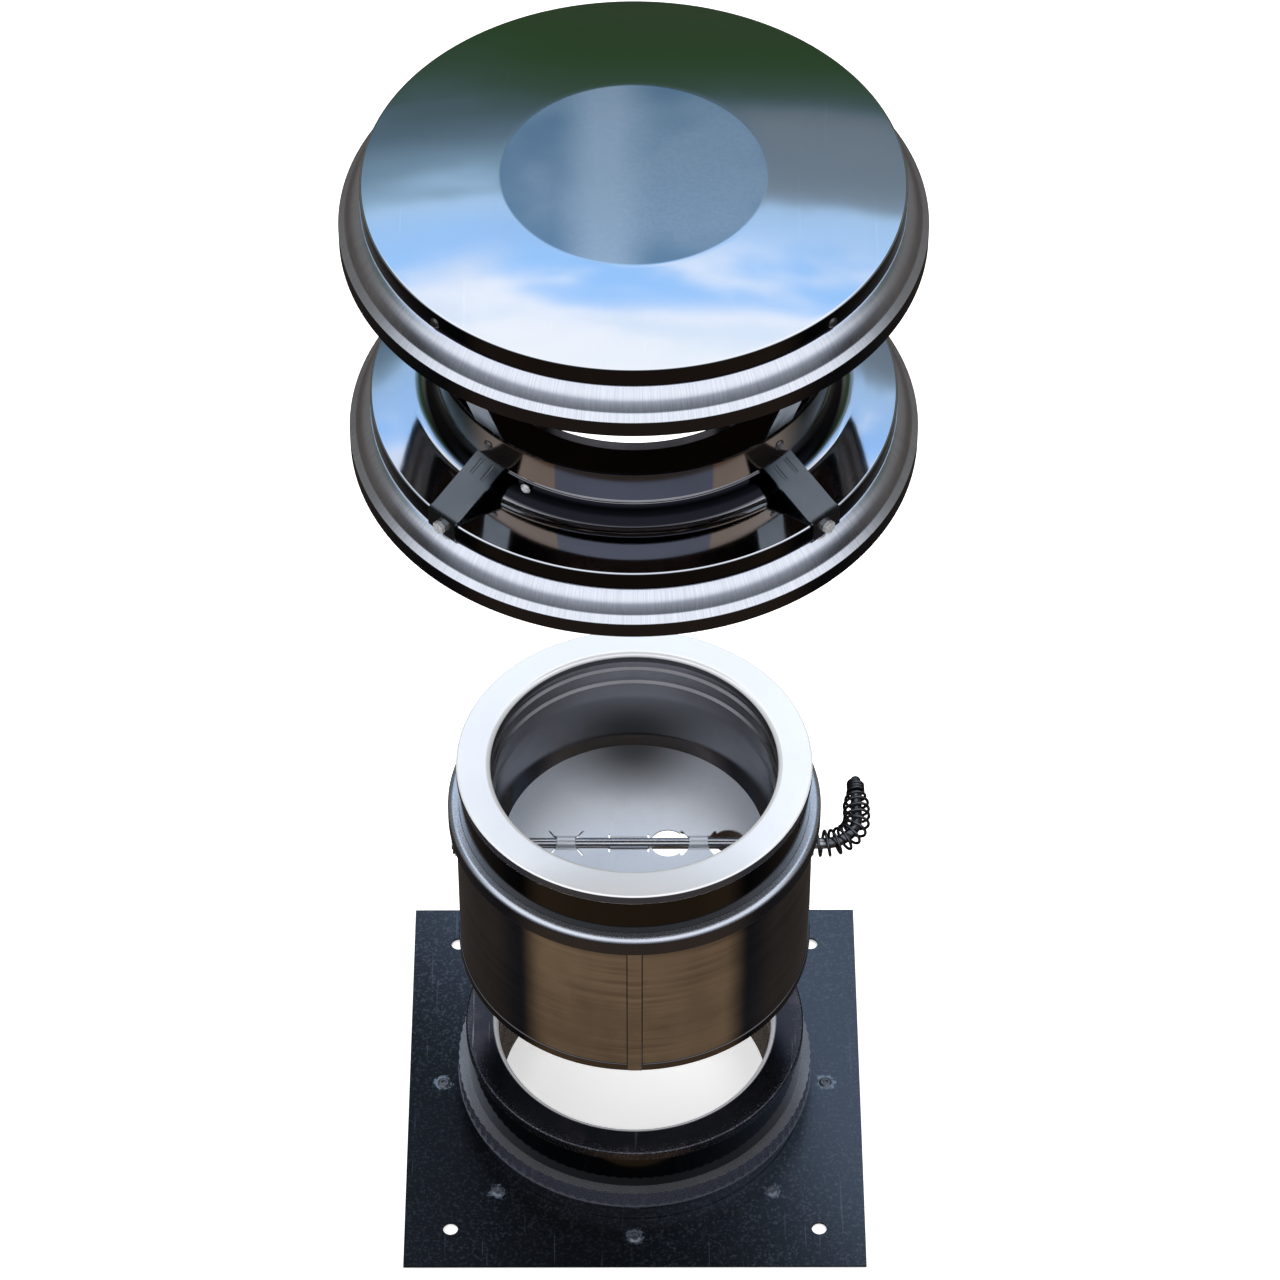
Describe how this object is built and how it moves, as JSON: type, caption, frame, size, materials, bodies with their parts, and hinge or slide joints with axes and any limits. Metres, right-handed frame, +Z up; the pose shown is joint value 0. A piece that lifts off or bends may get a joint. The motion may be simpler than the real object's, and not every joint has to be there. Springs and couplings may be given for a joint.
{
  "type": "chimney top damper",
  "caption": "Twin-wall chimney top set, taken apart: plate with collar, section with a butterfly flap on a shaft with a spring handle, and a cowl with a flat-topped cap over a round dish.",
  "frame": {"origin": "on the flue's axis, at the underside of the foot ring", "axes": "+Z up along the flue, +X along the damper's shaft towards its handle, -Y to the front"},
  "size_m": [0.3734, 0.3734, 0.9238],
  "materials": {
    "galvanised": "hot-dip galvanised, dull",
    "mirror_steel": "mirror polished stainless steel",
    "satin_steel": "satin, brushed across the rim",
    "dark_steel": "glossy stainless steel, seen dark",
    "ring_steel": "bright stainless steel",
    "pipe_steel": "bright-annealed stainless steel",
    "flap_steel": "matt stainless steel",
    "spring_steel": "oiled spring steel",
    "wool": "mineral wool"
  },
  "bodies": {
    "base": {"base_plate": "galvanised", "collar_foot_ring": "galvanised", "collar_outer_shell": "dark_steel", "collar_crimp_ring": "satin_steel", "collar_top_ring": "ring_steel", "collar_inner_pipe": "pipe_steel", "collar_insulation": "wool", "plate_rivets": "satin_steel"},
    "damper_section": {"damper_outer_shell": "dark_steel", "damper_flange_ring": "satin_steel", "damper_top_ring": "ring_steel", "damper_inner_pipe": "pipe_steel", "damper_bottom_ring": "satin_steel", "damper_insulation": "wool", "shaft_bush_left": "satin_steel", "shaft_bush_right": "satin_steel"},
    "flap": {"flap_blade": "flap_steel", "damper_shaft": "satin_steel", "handle_spring": "spring_steel", "shaft_end_clip": "spring_steel"},
    "cowl": {"cowl_inner_pipe": "pipe_steel", "cowl_outer_shell": "dark_steel", "cowl_top_ring": "dark_steel", "cowl_bottom_ring": "satin_steel", "cowl_insulation": "wool", "lower_dish": "mirror_steel", "lower_rim": "satin_steel", "band_ring": "mirror_steel", "leg_front_left": "dark_steel", "leg_front_right": "dark_steel", "leg_back_left": "dark_steel", "leg_back_right": "dark_steel", "cap_disc": "mirror_steel", "cap_rim": "satin_steel", "leg_bolts": "satin_steel", "leg_nuts": "satin_steel", "band_rivets": "satin_steel", "cap_wall_rivets": "dark_steel", "neck_rivets": "satin_steel"}
  },
  "joints": [
    {"name": "damper_lift", "type": "slide", "parent": "base", "child": "damper_section", "axis": [0, 0, 1], "range_m": [-0.14, 0]},
    {"name": "cowl_lift", "type": "slide", "parent": "damper_section", "child": "cowl", "axis": [0, 0, 1], "range_m": [-0.31, 0]},
    {"name": "flap_turn", "type": "hinge", "parent": "damper_section", "child": "flap", "pos_m": [0, 0, 0.2803], "axis": [1, 0, 0], "range_deg": [0, 90]}
  ]
}
